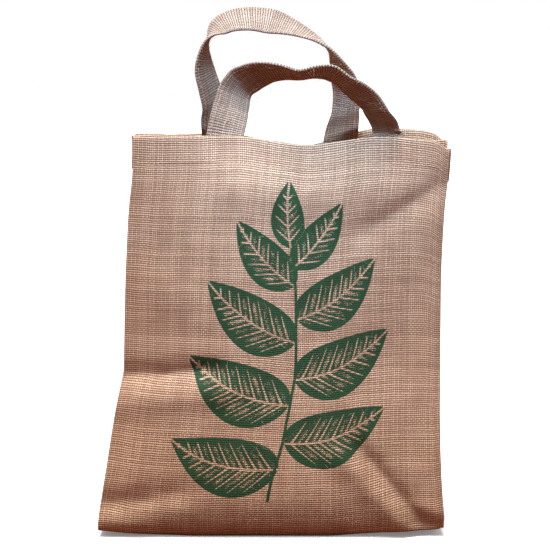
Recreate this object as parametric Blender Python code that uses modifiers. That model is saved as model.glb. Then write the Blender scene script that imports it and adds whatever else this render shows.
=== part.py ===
# A burlap tote bag that stands open on its bottom: two panels, one gusset strip round
# the sides and under the bottom, and two strap handles sewn inside the top hems.
# Metres, +Z up. The front faces -Y, and the origin is under the middle of the bottom.
import math

import bmesh
import bpy
from mathutils import Vector

# ---- driving sizes -------------------------------------------------------------------
CLOTH = 0.0020  # one layer of burlap
HEM = 0.0030  # the turned hem, pressed flat
HEM_DEPTH = 0.028  # how far the hem is turned down inside
GUSSET_WIDTH = 0.098  # the gusset strip between its two seams
STRAP = 0.0025  # the strap, folded and pressed
STRAP_WIDTH = 0.0345
SEAM_GAP = 0.00095  # between two pieces that are sewn together
HEM_SLACK = 0.0007  # between a strap's foot and the hem it is sewn to
FOLD_START = 0.012  # height above which the gusset's fold opens inwards
FOLD_RAMP = 0.050  # height over which the fold reaches its full depth
FOLD_SHAPE = 1.2  # 1 for a fold with straight walls, 2 for a round one
FOLD_ROUND = 0.08  # how blunt the fold's crease is
ROW_MARGIN = 0.012  # one row of a panel's grid
FREE_ABOVE = 0.004  # height over the hem at which a strap is free of it
FREE_RAMP = 0.012  # height over which it comes free
TANGENT_STEP = 0.004  # share of a strap's length, to find its direction
PANEL_CELLS = (26, 30)  # across and up
GUSSET_CELLS = 10  # from the front seam to the back seam
STRAP_CELLS = (46, 4)  # along and across

# ---- the panels' shape ---------------------------------------------------------------
# The side edges, seen from the front. Columns: height, left, right, and half the depth
# of the bag at the side seams and along the middle.
SIDES = (
    # height, left,    right,  seam,   middle
    (0.000, -0.1615, 0.1580, 0.0450, 0.0440),
    (0.006, -0.1630, 0.1590, 0.0475, 0.0490),
    (0.016, -0.1625, 0.1590, 0.0485, 0.0530),
    (0.032, -0.1605, 0.1580, 0.0475, 0.0550),
    (0.066, -0.1548, 0.1562, 0.0425, 0.0510),
    (0.107, -0.1485, 0.1556, 0.0340, 0.0435),
    (0.139, -0.1424, 0.1560, 0.0265, 0.0375),
    (0.155, -0.1398, 0.1562, 0.0235, 0.0350),
    (0.204, -0.1383, 0.1563, 0.0200, 0.0300),
    (0.254, -0.1363, 0.1567, 0.0185, 0.0275),
    (0.303, -0.1333, 0.1586, 0.0175, 0.0255),
    (0.335, -0.1296, 0.1617, 0.0175, 0.0230),
    (0.372, -0.1285, 0.1630, 0.0180, 0.0200),
)
# The panels' bottom edge, which lifts a little towards the corners. Columns: x, height.
BOTTOM_EDGE = (
    (-0.163, 0.0065),
    (-0.131, 0.0030),
    (-0.095, 0.0010),
    (-0.070, 0.0000),
    (0.050, 0.0000),
    (0.085, 0.0030),
    (0.120, 0.0060),
    (0.150, 0.0066),
    (0.159, 0.0090),
)
# The two top edges. Columns: x, height of the front edge, height of the back edge.
TOP_EDGE = (
    (-0.1285, 0.3700, 0.3705),
    (-0.0560, 0.3710, 0.3720),
    (-0.0240, 0.3700, 0.3690),
    (0.0030, 0.3663, 0.3635),
    (0.0305, 0.3630, 0.3605),
    (0.0535, 0.3652, 0.3650),
    (0.0990, 0.3700, 0.3765),
    (0.1355, 0.3682, 0.3755),
    (0.1520, 0.3654, 0.3725),
    (0.1630, 0.3580, 0.3650),
)
# Soft folds of the front and the back. A fold runs along a straight line, bulges by its
# height (a trough has a negative one) and fades over its half width.
# Columns: x and height of one end, x and height of the other end, half width, height.
FRONT_FOLDS = (
    (-0.145, 0.150, -0.062, 0.155, 0.011, -0.0040),  # crease over the left bulge
    (-0.150, 0.124, -0.060, 0.134, 0.014, 0.0034),  # lit ridge under that crease
    (-0.150, 0.035, -0.095, 0.041, 0.011, -0.0032),  # hollow over the left corner
    (-0.156, 0.015, -0.134, 0.014, 0.009, 0.0020),  # the left corner's own bulge
    (0.084, 0.079, 0.134, 0.020, 0.010, -0.0042),  # diagonal crease at the right
    (0.066, 0.072, 0.114, 0.016, 0.012, 0.0032),  # lit ridge beside it
    (0.138, 0.027, 0.157, 0.024, 0.009, 0.0020),  # the right corner's own bulge
    (0.146, 0.318, 0.088, 0.284, 0.013, -0.0028),  # hollow under the right top corner
    (-0.010, 0.322, 0.070, 0.318, 0.024, 0.0040),  # swell under the dip in the hem
    (-0.112, 0.232, -0.085, 0.222, 0.020, 0.0018),  # low swell left of the middle
    (0.120, 0.190, 0.150, 0.240, 0.022, -0.0018),  # hollow along the right seam
)
BACK_FOLDS = (
    (-0.140, 0.150, -0.030, 0.128, 0.013, -0.0034),
    (0.150, 0.142, 0.060, 0.162, 0.012, -0.0036),
    (-0.090, 0.100, -0.145, 0.022, 0.010, -0.0034),
    (0.095, 0.095, 0.145, 0.024, 0.010, -0.0032),
    (-0.060, 0.300, 0.020, 0.330, 0.022, 0.0030),
    (0.080, 0.250, 0.125, 0.292, 0.020, -0.0022),
)
# ---- the handles' shape --------------------------------------------------------------
# The strap's middle line from the left foot to the right one, and the way that its width
# points there. Columns: x, y, z, width's x, width's y, width's z.
FRONT_STRAP = (
    # x,     y,      z,      wx,    wy,    wz
    (-0.0440, -0.0150, 0.3400, 1.00, 0.00, 0.00),
    (-0.0440, -0.0150, 0.3560, 1.00, 0.00, 0.00),
    (-0.0435, -0.0145, 0.3725, 1.00, 0.04, 0.00),
    (-0.0405, -0.0110, 0.3870, 0.97, 0.24, -0.02),
    (-0.0378, -0.0060, 0.3985, 0.92, 0.36, -0.20),
    (-0.0355, -0.0010, 0.4090, 0.80, 0.40, -0.45),
    (-0.0300, 0.0000, 0.4180, 0.48, 0.52, -0.70),
    (-0.0205, -0.0060, 0.4240, 0.30, 0.68, -0.67),
    (-0.0080, -0.0145, 0.4285, 0.20, 0.82, -0.54),
    (0.0080, -0.0215, 0.4290, 0.10, 0.91, -0.38),
    (0.0240, -0.0260, 0.4265, 0.00, 0.97, -0.24),
    (0.0400, -0.0290, 0.4285, 0.00, 0.95, -0.31),
    (0.0530, -0.0300, 0.4275, -0.06, 0.91, -0.40),
    (0.0650, -0.0290, 0.4195, -0.15, 0.92, -0.36),
    (0.0760, -0.0265, 0.4120, -0.28, 0.87, -0.40),
    (0.0865, -0.0225, 0.4030, -0.40, 0.85, -0.34),
    (0.0947, -0.0175, 0.3925, -0.50, 0.85, -0.14),
    (0.1013, -0.0085, 0.3830, -0.66, 0.75, -0.05),
    (0.1048, -0.0045, 0.3725, -0.70, 0.71, 0.00),
    (0.1035, -0.0105, 0.3620, -0.92, 0.36, 0.00),
    (0.1025, -0.0150, 0.3520, -1.00, 0.00, 0.00),
    (0.1025, -0.0150, 0.3400, -1.00, 0.00, 0.00),
)
BACK_STRAP = (
    # x,     y,      z,      wx,    wy,    wz
    (-0.0480, 0.0140, 0.3400, 1.00, 0.00, 0.00),
    (-0.0485, 0.0140, 0.3560, 1.00, 0.00, 0.00),
    (-0.0503, 0.0115, 0.3720, 0.95, 0.25, 0.00),
    (-0.0530, 0.0100, 0.3860, 0.80, 0.58, 0.00),
    (-0.0545, 0.0070, 0.3990, 0.64, 0.76, 0.00),
    (-0.0590, 0.0035, 0.4150, 0.54, 0.84, 0.00),
    (-0.0630, 0.0010, 0.4310, 0.46, 0.88, 0.00),
    (-0.0627, 0.0010, 0.4460, 0.24, 0.97, 0.04),
    (-0.0590, 0.0030, 0.4590, 0.00, 0.99, 0.14),
    (-0.0510, 0.0045, 0.4690, -0.22, 0.87, 0.44),
    (-0.0380, 0.0055, 0.4755, -0.20, 0.81, 0.55),
    (-0.0220, 0.0060, 0.4773, -0.22, 0.76, 0.61),
    (-0.0060, 0.0060, 0.4757, -0.22, 0.72, 0.66),
    (0.0090, 0.0045, 0.4722, -0.17, 0.80, 0.58),
    (0.0240, 0.0030, 0.4667, -0.05, 0.91, 0.40),
    (0.0390, 0.0010, 0.4592, 0.00, 0.98, 0.20),
    (0.0520, -0.0010, 0.4490, -0.02, 1.00, 0.00),
    (0.0592, 0.0000, 0.4370, -0.28, 0.95, -0.10),
    (0.0655, 0.0035, 0.4225, -0.60, 0.79, -0.12),
    (0.0683, 0.0090, 0.4070, -0.67, 0.74, 0.00),
    (0.0675, 0.0110, 0.3920, -0.70, 0.71, 0.00),
    (0.0650, 0.0075, 0.3790, -0.80, 0.58, 0.00),
    (0.0640, 0.0080, 0.3680, -0.92, 0.38, 0.00),
    (0.0636, 0.0140, 0.3540, -1.00, 0.00, 0.00),
    (0.0636, 0.0140, 0.3400, -1.00, 0.00, 0.00),
)
JUTE = (0.60, 0.42, 0.29, 1.0)
JUTE_STRAP = (0.64, 0.47, 0.34, 1.0)


def along(table, column, at):
    """The column's value at a place in the first column, on a curve with no overshoot."""
    last = len(table) - 1
    if at <= table[0][0]:
        return table[0][column]
    if at >= table[last][0]:
        return table[last][column]
    k = max(i for i in range(last) if table[i][0] <= at)
    low, high = table[k], table[k + 1]
    span = high[0] - low[0]

    def slope(i):
        before, after = table[max(i - 1, 0)], table[min(i + 1, last)]
        turns = (table[i][column] - before[column]) * (after[column] - table[i][column]) <= 0
        return 0.0 if turns else (after[column] - before[column]) / (after[0] - before[0])

    t = (at - low[0]) / span
    rise = span * slope(k)
    fall = span * slope(k + 1)
    flat = (2 * t**3 - 3 * t**2 + 1) * low[column] + (3 * t**2 - 2 * t**3) * high[column]
    return flat + (t**3 - 2 * t**2 + t) * rise + (t**3 - t**2) * fall


def crowded(share, ends):
    """A share from 0 to 1, moved so that the grid is finer at both ends."""
    eased = share * share * (3 - 2 * share)
    return share + (eased - share) * ends


def fold_height(folds, x, z):
    """What the soft folds add to the bulge at a place on a panel."""
    total = 0.0
    for x0, z0, x1, z1, half_width, height in folds:
        run = Vector((x1 - x0, z1 - z0))
        place = Vector((x - x0, z - z0))
        t = place.dot(run) / run.length_squared
        beyond = max(-t, t - 1, 0) * run.length
        aside = (place - run * t).length
        fade = (aside / half_width) ** 2 + (beyond / (2 * half_width)) ** 2
        total += height * math.exp(-fade)
    return total


def panel_depth(u, x, z, folds):
    """Half the bag's depth at a place: the seams, the bulge between them, the folds."""
    seam, middle = along(SIDES, 3, z), along(SIDES, 4, z)
    bulge = 1 - abs(2 * u - 1) ** 2.6
    return seam + (middle - seam) * bulge + fold_height(folds, x, z)


def panel_point(u, v, back):
    """A point of a panel's outer face, from shares across and up."""
    low_x = SIDES[0][1] + (SIDES[0][2] - SIDES[0][1]) * u
    top_x = SIDES[-1][1] + (SIDES[-1][2] - SIDES[-1][1]) * u
    low = along(BOTTOM_EDGE, 1, low_x)
    z = low + (along(TOP_EDGE, 2 if back else 1, top_x) - low) * v
    left, right = along(SIDES, 1, z), along(SIDES, 2, z)
    x = left + (right - left) * u
    depth = panel_depth(u, x, z, BACK_FOLDS if back else FRONT_FOLDS)
    return Vector((x, depth if back else -depth, z))


def grid(name, across, up, point, material, thickness, offset, hem_weight=None):
    """An open grid bent to point(i share, j share), then given its thickness."""
    shape = bmesh.new()
    bmesh.ops.create_grid(shape, x_segments=across, y_segments=up, size=0.5)
    weight = shape.verts.layers.deform.verify()
    for vertex in shape.verts:
        i, j = vertex.co.x + 0.5, vertex.co.y + 0.5
        vertex.co = point(i, j)
        vertex[weight][0] = hem_weight(vertex.co) if hem_weight else 1.0
    mesh = bpy.data.meshes.new(name)
    shape.to_mesh(mesh)
    shape.free()
    mesh.shade_smooth()
    mesh.materials.append(material)
    thing = bpy.data.objects.new(name, mesh)
    thing.vertex_groups.new(name="thickness")
    wall = thing.modifiers.new("Thickness", "SOLIDIFY")
    wall.thickness = thickness
    wall.offset = offset
    wall.use_even_offset = True
    wall.vertex_group = "thickness"
    bag.objects.link(thing)
    return thing


def jute(name, colour):
    material = bpy.data.materials.new(name)
    material.use_nodes = True
    shader = material.node_tree.nodes["Principled BSDF"]
    shader.inputs["Base Color"].default_value = colour
    shader.inputs["Roughness"].default_value = 0.9
    shader.inputs["Metallic"].default_value = 0.0
    return material


def hem_weight(top_of):
    """How thick the cloth is at a place, as a share of the hem's thickness."""

    def weight(place):
        from_top = top_of(place) - place.z
        return 1.0 if from_top < HEM_DEPTH else CLOTH / HEM

    return weight


def front_top(place):
    return along(TOP_EDGE, 1, place.x)


def back_top(place):
    return along(TOP_EDGE, 2, place.x)


# ---- panels --------------------------------------------------------------------------
def panel_shares(i, j):
    return crowded(i, 0.35), crowded(j, 0.45)


def make_panel(name, back, material):
    def point(i, j):
        u, v = panel_shares(1 - i if back else i, j)
        return panel_point(u, v, back)

    top_of = back_top if back else front_top
    across, up = PANEL_CELLS
    return grid(name, across, up, point, material, HEM, -1.0, hem_weight(top_of))


# ---- gusset --------------------------------------------------------------------------
def seam_shares(step):
    """The panel's shares at a step of the seam: down the right, along, up the left."""
    across, up = PANEL_CELLS
    if step <= up:
        return panel_shares(1.0, 1 - step / up)
    if step <= up + across:
        return panel_shares(1 - (step - up) / across, 0.0)
    return panel_shares(0.0, (step - up - across) / up)


def seam_inward(step):
    """The way into the bag from the seam, square to the gusset."""
    across, up = PANEL_CELLS
    if step < up:
        return Vector((-1, 0, 0))
    if step == up:
        return Vector((-1, 0, 1)).normalized()
    if step < up + across:
        return Vector((0, 0, 1))
    if step == up + across:
        return Vector((1, 0, 1)).normalized()
    return Vector((1, 0, 0))


def gusset_point(i, j):
    """A point of the gusset's outer face: i runs along the seam, j from front to back."""
    steps = 2 * PANEL_CELLS[1] + PANEL_CELLS[0]
    step = round(i * steps)
    u, v = seam_shares(step)
    front, back = panel_point(u, v, False), panel_point(u, v, True)
    layer = HEM if front_top(front) - front.z < HEM_DEPTH + ROW_MARGIN else CLOTH
    half = (back - front).length / 2 - layer
    spare = max((GUSSET_WIDTH / 2) ** 2 - half**2, 0) ** 0.5
    height = (front.z + back.z) / 2
    opens = min(max((height - FOLD_START) / FOLD_RAMP, 0), 1)
    if abs(seam_inward(step).x) < 1:
        opens = 0
    depth = spare * opens
    lean = FOLD_SHAPE * depth / half
    inset = layer * (1 + lean / (1 + lean**2) ** 0.5) + SEAM_GAP
    front.y += inset
    back.y -= inset
    aside = ((2 * j - 1) ** 2 + FOLD_ROUND**2) ** 0.5
    return front.lerp(back, j) + seam_inward(step) * depth * max(1 - aside**FOLD_SHAPE, 0)


def make_gusset(material):
    steps = 2 * PANEL_CELLS[1] + PANEL_CELLS[0]
    weight = hem_weight(front_top)
    return grid("gusset", steps, GUSSET_CELLS, gusset_point, material, HEM, -1.0, weight)


# ---- handles -------------------------------------------------------------------------
def curve_point(table, at):
    """A row of the table at a share of the way along it, on a smooth curve."""
    last = len(table) - 1
    k = min(int(at * last), last - 1)
    t = at * last - k
    a, b, c, d = (Vector(table[min(max(k + n, 0), last)]) for n in (-1, 0, 1, 2))
    bend = (2 * a - 5 * b + 4 * c - d) * t**2
    turn = (3 * b - a - 3 * c + d) * t**3
    return 0.5 * (2 * b + (c - a) * t + bend + turn)


def strap_frame(table, at):
    """The middle of the strap at a share of its length, and the way across it there."""
    row = curve_point(table, at)
    ahead = curve_point(table, min(at + TANGENT_STEP, 1))
    behind = curve_point(table, max(at - TANGENT_STEP, 0))
    way = Vector((ahead - behind)[:3]).normalized()
    width = Vector(row[3:6])
    width = (width - way * width.dot(way)).normalized()
    return Vector(row[:3]), width


def make_strap(name, table, back, material):
    side = 1 if back else -1

    def point(i, j):
        middle, width = strap_frame(table, i)
        place = middle + width * STRAP_WIDTH * (j - 0.5)
        left, right = along(SIDES, 1, place.z), along(SIDES, 2, place.z)
        u = (place.x - left) / (right - left)
        folds = BACK_FOLDS if back else FRONT_FOLDS
        hem_face = panel_depth(u, place.x, place.z, folds) - HEM - HEM_SLACK
        sewn = side * (hem_face - STRAP / 2)
        top = back_top(place) if back else front_top(place)
        held = min(max((top + FREE_ABOVE - place.z) / FREE_RAMP, 0), 1)
        place.y += (sewn - place.y) * held
        return place

    along_cells, across_cells = STRAP_CELLS
    return grid(name, along_cells, across_cells, point, material, STRAP, 0.0)


# ---- build ---------------------------------------------------------------------------
for thing in list(bpy.data.objects):
    bpy.data.objects.remove(thing, do_unlink=True)
bag = bpy.data.collections.new("burlap_bag")
bpy.context.scene.collection.children.link(bag)

make_panel("front_panel", False, jute("front_panel_jute", JUTE))
make_panel("back_panel", True, jute("back_panel_jute", JUTE))
make_gusset(jute("gusset_jute", JUTE))
make_strap("front_handle", FRONT_STRAP, False, jute("front_handle_jute", JUTE_STRAP))
make_strap("back_handle", BACK_STRAP, True, jute("back_handle_jute", JUTE_STRAP))
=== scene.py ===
# %% [markdown]
# # A burlap tote bag, cloth by cloth
# This lesson dresses the plain solids of a jute tote bag. The bag stands open on its
# bottom: two panels, a gusset strip folded in at the sides, and two strap handles that
# are sewn inside the hems. The solids give each piece its place and its folds. Here each
# one is made again as thin woven cloth, with its hem, seams, stitches and loose fibres.
# All sizes are in metres, +Z is up, and the front of the bag faces -Y.

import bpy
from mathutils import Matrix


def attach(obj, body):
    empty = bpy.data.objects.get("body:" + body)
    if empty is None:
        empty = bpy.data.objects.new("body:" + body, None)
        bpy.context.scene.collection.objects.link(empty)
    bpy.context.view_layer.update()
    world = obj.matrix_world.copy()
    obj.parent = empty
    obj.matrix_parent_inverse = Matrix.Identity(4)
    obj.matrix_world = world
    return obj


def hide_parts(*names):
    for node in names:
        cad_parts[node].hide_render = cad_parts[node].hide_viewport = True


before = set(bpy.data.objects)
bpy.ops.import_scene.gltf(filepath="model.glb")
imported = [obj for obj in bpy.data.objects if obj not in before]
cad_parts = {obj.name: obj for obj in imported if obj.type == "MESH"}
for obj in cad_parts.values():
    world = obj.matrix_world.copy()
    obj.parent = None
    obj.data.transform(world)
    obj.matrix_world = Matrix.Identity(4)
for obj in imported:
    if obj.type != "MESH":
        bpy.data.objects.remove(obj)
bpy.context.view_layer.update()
print("solids:", ", ".join(sorted(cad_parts)))

# %% The tools of the lesson
import math
import random

import bmesh
import bpy
import numpy as np
from mathutils import Matrix, Vector, noise


def add_object(name, data):
    """Puts a mesh, a curve, a lamp or a camera in the scene."""
    thing = bpy.data.objects.new(name, data)
    bpy.context.scene.collection.objects.link(thing)
    return thing


# %% [markdown]
# ## The camera
# A camera could be placed by eye. Here it is worked out from four facts instead, because
# then the outline of the cloth can be trusted: how far away it stands, how high it looks
# from, how many metres one pixel of the picture covers at the bag, and the pixel at which
# a known point of the bag lies. The lens follows from the first and the third, and the
# small shift of the frame from the last.

# %% Place the camera
PICTURE = 550  # pixels along each side of the picture
PIXEL = 0.00094  # metres that one pixel covers at the aimed point
DISTANCE = 1.3
ELEVATION = math.radians(8)
AIM = Vector((0, 0, 0.25))
AIM_PIXEL = (273, 264)  # where the aimed point lies, from the left and from the top

camera_data = bpy.data.cameras.new("camera")
camera_data.lens = camera_data.sensor_width * DISTANCE / (PICTURE * PIXEL)
camera_data.shift_x = (PICTURE / 2 - AIM_PIXEL[0]) / PICTURE
camera_data.shift_y = (AIM_PIXEL[1] - PICTURE / 2) / PICTURE
camera = add_object("camera", camera_data)
camera.location = AIM + DISTANCE * Vector((0, -math.cos(ELEVATION), math.sin(ELEVATION)))
camera.rotation_euler = (math.pi / 2 - ELEVATION, 0, 0)
bpy.context.scene.camera = camera
print("lens in mm:", round(camera_data.lens, 1))

# %% [markdown]
# ## The cut and the stand of the bag
# A bag like this is cut flat and then stands as its folds let it. The tables below say how
# it stands: where its sides run at each height, how deep it is there, where its lower and
# upper edges run, and where soft folds lie. They are the same tables that shaped the
# solids, so every thread lies where its solid is. A table with a few rows and a smooth
# curve through them is easier to read and to change than a mesh with thousands of points.

# %% Sizes of the cloth
CLOTH = 0.0011  # one layer of burlap
HEM_ROLL = 0.00125  # radius at which the hem turns over the top edge
EDGE_ROLL = 0.0013  # radius at which a panel turns round a side seam
HEM_DEPTH = 0.028
GUSSET_WIDTH = 0.098
STRAP_WIDTH = 0.0345
STRAP_THICKNESS = 0.0024
SEWN_GAP = 0.0002  # between two layers that are sewn together
PANEL_WIDTH = 0.318  # flat, between the side seams
PANEL_HEIGHT = 0.372  # flat, from the bottom seam to the hem's fold
print("a panel is", 1000 * PANEL_WIDTH, "by", 1000 * PANEL_HEIGHT, "mm between its seams")

# %% How the bag stands
# The side edges. Columns: height, left, right, half depth at the seams and in the middle.
SIDES = (
    (0.000, -0.1615, 0.1580, 0.0450, 0.0440),
    (0.006, -0.1630, 0.1590, 0.0475, 0.0490),
    (0.016, -0.1625, 0.1590, 0.0485, 0.0530),
    (0.032, -0.1605, 0.1580, 0.0475, 0.0550),
    (0.066, -0.1548, 0.1562, 0.0425, 0.0510),
    (0.107, -0.1485, 0.1556, 0.0340, 0.0435),
    (0.139, -0.1424, 0.1560, 0.0265, 0.0375),
    (0.155, -0.1398, 0.1562, 0.0235, 0.0350),
    (0.204, -0.1383, 0.1563, 0.0200, 0.0300),
    (0.254, -0.1363, 0.1567, 0.0185, 0.0275),
    (0.303, -0.1333, 0.1586, 0.0175, 0.0255),
    (0.335, -0.1296, 0.1617, 0.0175, 0.0230),
    (0.372, -0.1285, 0.1630, 0.0180, 0.0200),
)
# The bottom edge of both panels. Columns: x, height.
BOTTOM_EDGE = (
    (-0.163, 0.0065),
    (-0.131, 0.0030),
    (-0.095, 0.0010),
    (-0.070, 0.0000),
    (0.050, 0.0000),
    (0.085, 0.0030),
    (0.120, 0.0060),
    (0.150, 0.0066),
    (0.159, 0.0090),
)
# The top edges. Columns: x, height of the front edge, height of the back edge.
TOP_EDGE = (
    (-0.1285, 0.3700, 0.3705),
    (-0.0560, 0.3710, 0.3720),
    (-0.0240, 0.3700, 0.3690),
    (0.0030, 0.3663, 0.3635),
    (0.0305, 0.3630, 0.3605),
    (0.0535, 0.3652, 0.3650),
    (0.0990, 0.3700, 0.3765),
    (0.1355, 0.3682, 0.3755),
    (0.1520, 0.3654, 0.3725),
    (0.1630, 0.3580, 0.3650),
)
print("width at the bottom in mm:", round(1000 * (SIDES[0][2] - SIDES[0][1])))

# %% The folds of the panels
# A fold runs along a line, bulges by its height (a trough has a negative one) and fades
# over its half width. Columns: x and height of one end, x and height of the other end,
# half width, height. The first rows are the solids' own folds.
FRONT_FOLDS = (
    (-0.145, 0.150, -0.062, 0.155, 0.011, -0.0040),  # crease over the left bulge
    (-0.150, 0.124, -0.060, 0.134, 0.014, 0.0034),  # lit ridge under that crease
    (-0.150, 0.035, -0.095, 0.041, 0.011, -0.0032),  # hollow over the left corner
    (-0.156, 0.015, -0.134, 0.014, 0.009, 0.0020),  # the left corner's own bulge
    (0.084, 0.079, 0.134, 0.020, 0.010, -0.0042),  # diagonal crease at the right
    (0.066, 0.072, 0.114, 0.016, 0.012, 0.0032),  # lit ridge beside it
    (0.138, 0.027, 0.157, 0.024, 0.009, 0.0020),  # the right corner's own bulge
    (0.146, 0.318, 0.088, 0.284, 0.013, -0.0028),  # hollow under the right top corner
    (-0.010, 0.322, 0.070, 0.318, 0.024, 0.0040),  # swell under the dip in the hem
    (-0.112, 0.232, -0.085, 0.222, 0.020, 0.0018),  # low swell left of the middle
    (0.120, 0.190, 0.150, 0.240, 0.022, -0.0018),  # hollow along the right seam
)
BACK_FOLDS = (
    (-0.140, 0.150, -0.030, 0.128, 0.013, -0.0034),
    (0.150, 0.142, 0.060, 0.162, 0.012, -0.0036),
    (-0.090, 0.100, -0.145, 0.022, 0.010, -0.0034),
    (0.095, 0.095, 0.145, 0.024, 0.010, -0.0032),
    (-0.060, 0.300, 0.020, 0.330, 0.022, 0.0030),
    (0.080, 0.250, 0.125, 0.292, 0.020, -0.0022),
)
# Finer creases that only the cloth has, in the same columns.
FRONT_CREASES = (
    (-0.142, 0.1485, -0.100, 0.1500, 0.0042, -0.0016),
    (-0.100, 0.1500, -0.066, 0.1560, 0.0042, -0.0014),
    (0.090, 0.073, 0.130, 0.024, 0.0045, -0.0018),
    (0.080, 0.060, 0.118, 0.016, 0.0055, 0.0010),
    (0.134, 0.013, 0.157, 0.010, 0.0050, -0.0012),
    (-0.150, 0.031, -0.118, 0.034, 0.0055, -0.0010),
    (0.146, 0.322, 0.104, 0.296, 0.0055, -0.0009),
)
BACK_CREASES = (
    (-0.140, 0.152, -0.070, 0.136, 0.0050, -0.0014),
    (0.148, 0.142, 0.085, 0.158, 0.0050, -0.0014),
    (0.100, 0.085, 0.140, 0.028, 0.0050, -0.0014),
)
print("folds in front and behind:", len(FRONT_FOLDS), len(BACK_FOLDS))

# %% The handles' middle lines
# From the left foot to the right one. Columns: x, y, z, then the way that the strap's
# width points.
FRONT_STRAP = (
    (-0.0440, -0.0150, 0.3400, 1.00, 0.00, 0.00),
    (-0.0440, -0.0150, 0.3560, 1.00, 0.00, 0.00),
    (-0.0435, -0.0145, 0.3725, 1.00, 0.04, 0.00),
    (-0.0405, -0.0110, 0.3870, 0.97, 0.24, -0.02),
    (-0.0378, -0.0060, 0.3985, 0.92, 0.36, -0.20),
    (-0.0355, -0.0010, 0.4090, 0.80, 0.40, -0.45),
    (-0.0300, 0.0000, 0.4180, 0.48, 0.52, -0.70),
    (-0.0205, -0.0060, 0.4240, 0.30, 0.68, -0.67),
    (-0.0080, -0.0145, 0.4285, 0.20, 0.82, -0.54),
    (0.0080, -0.0215, 0.4290, 0.10, 0.91, -0.38),
    (0.0240, -0.0260, 0.4265, 0.00, 0.97, -0.24),
    (0.0400, -0.0290, 0.4285, 0.00, 0.95, -0.31),
    (0.0530, -0.0300, 0.4275, -0.06, 0.91, -0.40),
    (0.0650, -0.0290, 0.4195, -0.15, 0.92, -0.36),
    (0.0760, -0.0265, 0.4120, -0.28, 0.87, -0.40),
    (0.0865, -0.0225, 0.4030, -0.40, 0.85, -0.34),
    (0.0947, -0.0175, 0.3925, -0.50, 0.85, -0.14),
    (0.1013, -0.0085, 0.3830, -0.66, 0.75, -0.05),
    (0.1048, -0.0045, 0.3725, -0.70, 0.71, 0.00),
    (0.1035, -0.0105, 0.3620, -0.92, 0.36, 0.00),
    (0.1025, -0.0150, 0.3520, -1.00, 0.00, 0.00),
    (0.1025, -0.0150, 0.3400, -1.00, 0.00, 0.00),
)
BACK_STRAP = (
    (-0.0480, 0.0140, 0.3400, 1.00, 0.00, 0.00),
    (-0.0485, 0.0140, 0.3560, 1.00, 0.00, 0.00),
    (-0.0503, 0.0115, 0.3720, 0.95, 0.25, 0.00),
    (-0.0530, 0.0100, 0.3860, 0.80, 0.58, 0.00),
    (-0.0545, 0.0070, 0.3990, 0.64, 0.76, 0.00),
    (-0.0590, 0.0035, 0.4150, 0.54, 0.84, 0.00),
    (-0.0630, 0.0010, 0.4310, 0.46, 0.88, 0.00),
    (-0.0627, 0.0010, 0.4460, 0.24, 0.97, 0.04),
    (-0.0590, 0.0030, 0.4590, 0.00, 0.99, 0.14),
    (-0.0510, 0.0045, 0.4690, -0.22, 0.87, 0.44),
    (-0.0380, 0.0055, 0.4755, -0.20, 0.81, 0.55),
    (-0.0220, 0.0060, 0.4773, -0.22, 0.76, 0.61),
    (-0.0060, 0.0060, 0.4757, -0.22, 0.72, 0.66),
    (0.0090, 0.0045, 0.4722, -0.17, 0.80, 0.58),
    (0.0240, 0.0030, 0.4667, -0.05, 0.91, 0.40),
    (0.0390, 0.0010, 0.4592, 0.00, 0.98, 0.20),
    (0.0520, -0.0010, 0.4490, -0.02, 1.00, 0.00),
    (0.0592, 0.0000, 0.4370, -0.28, 0.95, -0.10),
    (0.0655, 0.0035, 0.4225, -0.60, 0.79, -0.12),
    (0.0683, 0.0090, 0.4070, -0.67, 0.74, 0.00),
    (0.0675, 0.0110, 0.3920, -0.70, 0.71, 0.00),
    (0.0650, 0.0075, 0.3790, -0.80, 0.58, 0.00),
    (0.0640, 0.0080, 0.3680, -0.92, 0.38, 0.00),
    (0.0636, 0.0140, 0.3540, -1.00, 0.00, 0.00),
    (0.0636, 0.0140, 0.3400, -1.00, 0.00, 0.00),
)
print("the handles rise to", [max(row[2] for row in table) for table in (FRONT_STRAP, BACK_STRAP)])

# %% [markdown]
# ## Reading a table as a smooth curve
# Two kinds of curve read the tables. An edge must never swing past its own rows, or the
# cloth would dip through the floor, so its curve levels out wherever the rows turn. A
# strap's middle line may swing a little, as a real strap does, so it takes a Catmull-Rom
# curve. Both work on whole arrays of places at once, which keeps the script quick.


# %% Curves through the rows
def along(table, column, at):
    """A column's values at places in the first column, on a curve with no overshoot."""
    places = np.array([row[0] for row in table])
    values = np.array([row[column] for row in table])
    step, rise = np.diff(places), np.diff(values)
    slopes = np.zeros(len(values))
    keeps_on = rise[:-1] * rise[1:] > 0
    slopes[1:-1] = np.where(keeps_on, (rise[:-1] + rise[1:]) / (step[:-1] + step[1:]), 0)
    k = np.clip(np.searchsorted(places, at, side="right") - 1, 0, len(step) - 1)
    t = np.clip((at - places[k]) / step[k], 0, 1)
    low = (2 * t**3 - 3 * t**2 + 1) * values[k] + (t**3 - 2 * t**2 + t) * step[k] * slopes[k]
    high = (3 * t**2 - 2 * t**3) * values[k + 1] + (t**3 - t**2) * step[k] * slopes[k + 1]
    return low + high


def curve_points(table, at):
    """Rows of a table at shares of the way along it, on a smooth curve."""
    rows = np.array(table)
    last = len(rows) - 1
    k = np.minimum((at * last).astype(int), last - 1)
    t = (at * last - k)[:, None]
    a, b, c, d = (rows[np.clip(k + n, 0, last)] for n in (-1, 0, 1, 2))
    bend = (2 * a - 5 * b + 4 * c - d) * t**2
    turn = (3 * b - a - 3 * c + d) * t**3
    return 0.5 * (2 * b + (c - a) * t + bend + turn)


def smooth(low, high, value):
    """0 below low, 1 above high, and an easy rise between them."""
    t = np.clip((value - low) / (high - low), 0, 1)
    return t * t * (3 - 2 * t)


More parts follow.
